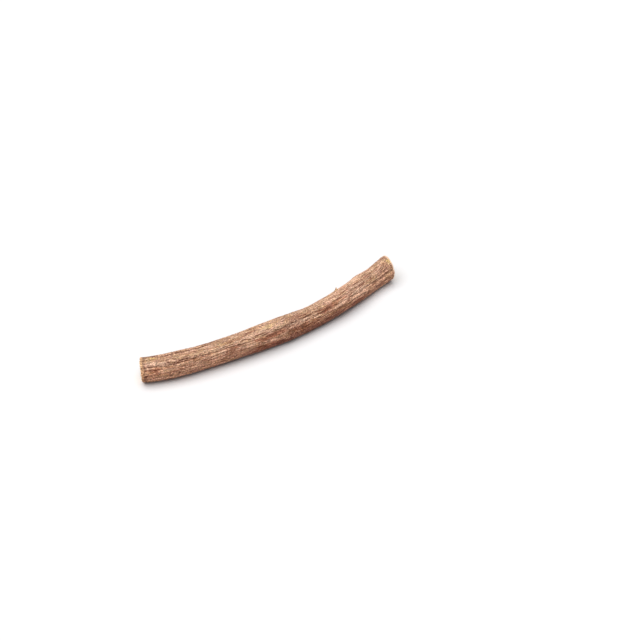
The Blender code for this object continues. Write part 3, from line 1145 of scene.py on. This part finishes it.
# %% Dirt, stains and painted shade
def bark_dirt_and_shade(tree, colour, place, depth):
    """Dirt in the crinkles, fissures and pits, then stains, painted shade on the underside and the
    tone.
    """
    low = attribute(tree, "low_ground").outputs["Fac"]
    fissured = attribute(tree, "fissured").outputs["Fac"]
    dirt = span(tree, sum_of(tree, depth, product(tree, low, 0.2)), 0.34, 0.70, 0.0, 0.95)
    colour = mix(tree, product(tree, dirt, attribute(tree, "dirty").outputs["Fac"]), colour, BARK_DEEP)
    colour = mix(tree, product(tree, fissured, 0.85), colour, BARK_DEEP)
    # Stains, and on the lower side painted shade
    colour = mix(tree, attribute(tree, "stain_and_shade").outputs["Fac"], colour, BARK_STAIN_AND_SHADE, "MULTIPLY")
    # Painted shade: darker and redder from the middle height down, darker still towards the bottom, as
    # strongly as the underside note says
    upwards = add(tree, "ShaderNodeSeparateXYZ", {0: place}).outputs["X"]
    colour = mix(tree, span(tree, upwards, 6.5, 0.0), colour, PAINTED_SHADE_TINT, "MULTIPLY")
    strongly = attribute(tree, "underside").outputs["Fac"]
    shade_beneath = product(tree, span(tree, upwards, 2.6, -3.0), strongly)
    colour = mix(tree, shade_beneath, colour, PAINTED_SHADE_DARK, "MULTIPLY")
    blotches = add(tree, "ShaderNodeTexNoise", {"Vector": place, "Scale": 0.09, "Detail": 3.0})
    slow = span(tree, blotches.outputs["Fac"], 0.35, 0.65, 0.93, 1.07)
    return shaded(tree, colour, sum_of(tree, slow, attribute(tree, "tone").outputs["Fac"]))


# %% Worn rims at the cuts, with a painted shadow line and a painted highlight
def from_cuts(tree, place):
    """How far a point is from the first and from the second cut, in millimetres."""
    lengthwise = add(tree, "ShaderNodeSeparateXYZ", {0: place}).outputs["Z"]
    to_end = add(tree, "ShaderNodeMath", {0: LENGTH / MM, 1: lengthwise}, operation="SUBTRACT")
    return lengthwise, to_end.outputs[0]


def first_rim_and_shadow(tree, colour, place, fibre):
    """The worn orange edge at the first cut, and a painted shadow line beside it."""
    start = sum_of(tree, from_cuts(tree, place)[0], span(tree, fibre, 0.3, 0.7, -0.7, 0.7))
    # Painted shadow line: a dark band just inside the rim of the first cut
    colour = mix(tree, span(tree, start, 3.6, 1.7, 0.0, 0.5), colour, BARK_DEEP)
    return mix(tree, span(tree, start, 1.7, 0.9, 0.0, 0.95), colour, RIM_ORANGE)


def second_rim_highlight(tree, colour, place, fibre):
    """The thin pale edge at the second cut, worn pale and made brighter as a painted highlight."""
    end = sum_of(tree, from_cuts(tree, place)[1], span(tree, fibre, 0.3, 0.7, -0.4, 0.4))
    # Painted highlight: the rim of the second cut brightened where it would catch the light
    rubbed_highlight = product(tree, span(tree, end, 1.05, 0.55), span(tree, fibre, 0.38, 0.60, 1.0, 0.55))
    return mix(tree, rubbed_highlight, colour, RIM_HIGHLIGHT)


# %% Material: bark
def make_bark():
    """Streaks, scrapes and rims under flecks and specks, then dirt and painted shade, a painted rim
    highlight, gloss and a fine bump.
    """
    material, tree, shader = finish("bark")
    place = attribute(tree, "bar_mm").outputs["Vector"]
    depth = attribute(tree, "crinkle_depth").outputs["Fac"]
    bare = attribute(tree, "scraped").outputs["Fac"]
    short, short_specks = fibres_at(tree, place, *SHORT_FLECKS_PER_MM)
    drawn_out, long_specks = fibres_at(tree, place, *LONG_FLECKS_PER_MM)
    stretch = attribute(tree, "long_grain").outputs["Fac"]
    flecks = between(tree, stretch, short, drawn_out)
    specks = between(tree, stretch, short_specks, long_specks)
    colour = bark_streaks(tree, place, depth)
    thin = product(tree, bare, span(tree, flecks, 0.36, 0.56, 0.6, 1.0))
    colour = mix(tree, thin, colour, INNER_BARK)
    colour = first_rim_and_shadow(tree, colour, place, flecks)
    colour = shaded(tree, colour, span(tree, flecks, *FLECK_RANGE, *FLECK_SHADES))
    colour = shaded(tree, colour, span(tree, specks, *FLECK_RANGE, *SPECK_SHADES))
    colour = bark_dirt_and_shade(tree, colour, place, depth)
    colour = second_rim_highlight(tree, colour, place, flecks)
    tree.links.new(colour, shader.inputs["Base Color"])
    shader.inputs["Specular IOR Level"].default_value = 0.25
    tree.links.new(span(tree, specks, 0.3, 0.7, 0.74, 0.95), shader.inputs["Roughness"])
    height = sum_of(tree, flecks, product(tree, specks, 0.6))
    bump = add(tree, "ShaderNodeBump", {"Height": height, "Distance": BARK_BUMP, "Strength": 1.0})
    tree.links.new(bump.outputs["Normal"], shader.inputs["Normal"])
    return material


bark = make_bark()
print("material:", bark.name, "with", len(bark.node_tree.nodes), "nodes")

# %% [markdown]
# ## The cut wood
# The wood is straw yellow. Fine rays spread from a small pith, pores dot it, and a thin dark ring
# parts it from the bark, whose wedges are paler and whose outermost skin is brown. A picture of a
# cut could be laid on the ends. Here the rings and rays are worked out from the distance and the
# direction to the middle, so that they fit both cuts and the torn fibres too.

# %% Colours and rings of the cut wood
WOOD_STRAW = (0.92, 0.620, 0.250, 1)
WOOD_SHADE = (0.64, 0.350, 0.120, 1)
WOOD_CREAM = (0.95, 0.750, 0.440, 1)
BARK_WEDGE = (0.95, 0.670, 0.320, 1)
CORK_DARK = (0.34, 0.165, 0.080, 1)
CORK_TAN = (0.66, 0.390, 0.220, 1)
WOOD_BUMP = 0.25 * MM
WOOD_EDGE_MM = BARK_RING * BAR_RADIUS / MM
CORK_EDGE_MM = (BAR_RADIUS - RIM_ROUNDING) / MM
print("wood reaches, mm:", round(WOOD_EDGE_MM, 2), "inner bark, mm:", round(CORK_EDGE_MM, 2))


# %% Material: cut wood
def make_cut_wood():
    """Rays, pores and pith in the wood, a dark ring, pale wedges of bark and a brown skin."""
    material, tree, shader = finish("cut_wood")
    place = attribute(tree, "bar_mm").outputs["Vector"]
    flat = add(tree, "ShaderNodeVectorMath", {0: place, 1: (1, 1, 0)}, operation="MULTIPLY").outputs[0]
    direction = add(tree, "ShaderNodeVectorMath", {0: flat}, operation="NORMALIZE").outputs[0]
    reach = add(tree, "ShaderNodeVectorMath", {0: flat}, operation="LENGTH").outputs["Value"]
    wires = {"Vector": direction, "Scale": 8.0, "Detail": 6.0, "Roughness": 0.75}
    rays = add(tree, "ShaderNodeTexNoise", wires).outputs["Fac"]
    wires = {"Vector": flat, "Scale": 2.6, "Detail": 5.0}
    tufts = add(tree, "ShaderNodeTexNoise", wires).outputs["Fac"]
    wood = mix(tree, span(tree, rays, 0.40, 0.58), WOOD_SHADE, WOOD_STRAW)
    pores = add(tree, "ShaderNodeTexVoronoi", {"Vector": flat, "Scale": 3.4}).outputs["Distance"]
    wood = mix(tree, span(tree, pores, 0.18, 0.08, 0.0, 0.75), wood, WOOD_SHADE)
    wedges = mix(tree, span(tree, rays, 0.42, 0.54), WOOD_STRAW, BARK_WEDGE)
    wavy_reach = sum_of(tree, reach, product(tree, tufts, 0.5))
    in_bark = span(tree, wavy_reach, WOOD_EDGE_MM + 0.15, WOOD_EDGE_MM + 0.35)
    colour = mix(tree, in_bark, wood, wedges)
    ring = product(tree, in_bark, span(tree, wavy_reach, WOOD_EDGE_MM + 0.6, WOOD_EDGE_MM + 0.35))
    colour = mix(tree, product(tree, ring, 0.7), colour, WOOD_SHADE)
    colour = mix(tree, span(tree, tufts, 0.5, 0.7, 0.0, 0.8), colour, WOOD_CREAM)
    pith = span(tree, reach, 0.7, 0.3, 0.0, 0.8)
    colour = mix(tree, pith, colour, WOOD_SHADE)
    cork = span(tree, wavy_reach, CORK_EDGE_MM - 0.2, CORK_EDGE_MM, 0.0, 0.8)
    colour = mix(tree, cork, colour, CORK_DARK)
    outermost = span(tree, wavy_reach, CORK_EDGE_MM + 0.15, CORK_EDGE_MM + 0.35)
    colour = mix(tree, outermost, colour, CORK_TAN)
    tree.links.new(colour, shader.inputs["Base Color"])
    shader.inputs["Roughness"].default_value = 0.9
    shader.inputs["Specular IOR Level"].default_value = 0.2
    height = sum_of(tree, rays, tufts)
    bump = add(tree, "ShaderNodeBump", {"Height": height, "Distance": WOOD_BUMP, "Strength": 0.9})
    tree.links.new(bump.outputs["Normal"], shader.inputs["Normal"])
    return material


cut_wood = make_cut_wood()
print("material:", cut_wood.name, "with", len(cut_wood.node_tree.nodes), "nodes")

# %% [markdown]
# ## Dressing the pieces
# A mesh can wear several materials, and each of its faces says which. The root's first is the
# bark, and its second is the cut wood, which the faces of both cuts were given while the bar was
# modelled. One material could do both with a mask, but two keep the edge between them crisp. The
# loose flakes are bark, and the torn fibres are wood.

# %% Dress the pieces
root.data.materials.append(bark)
root.data.materials.append(cut_wood)
bark_flakes.data.materials.append(bark)
torn_fibres.data.materials.append(cut_wood)
for piece in (root, bark_flakes, torn_fibres):
    print(piece.name, "wears", [material.name for material in piece.data.materials])
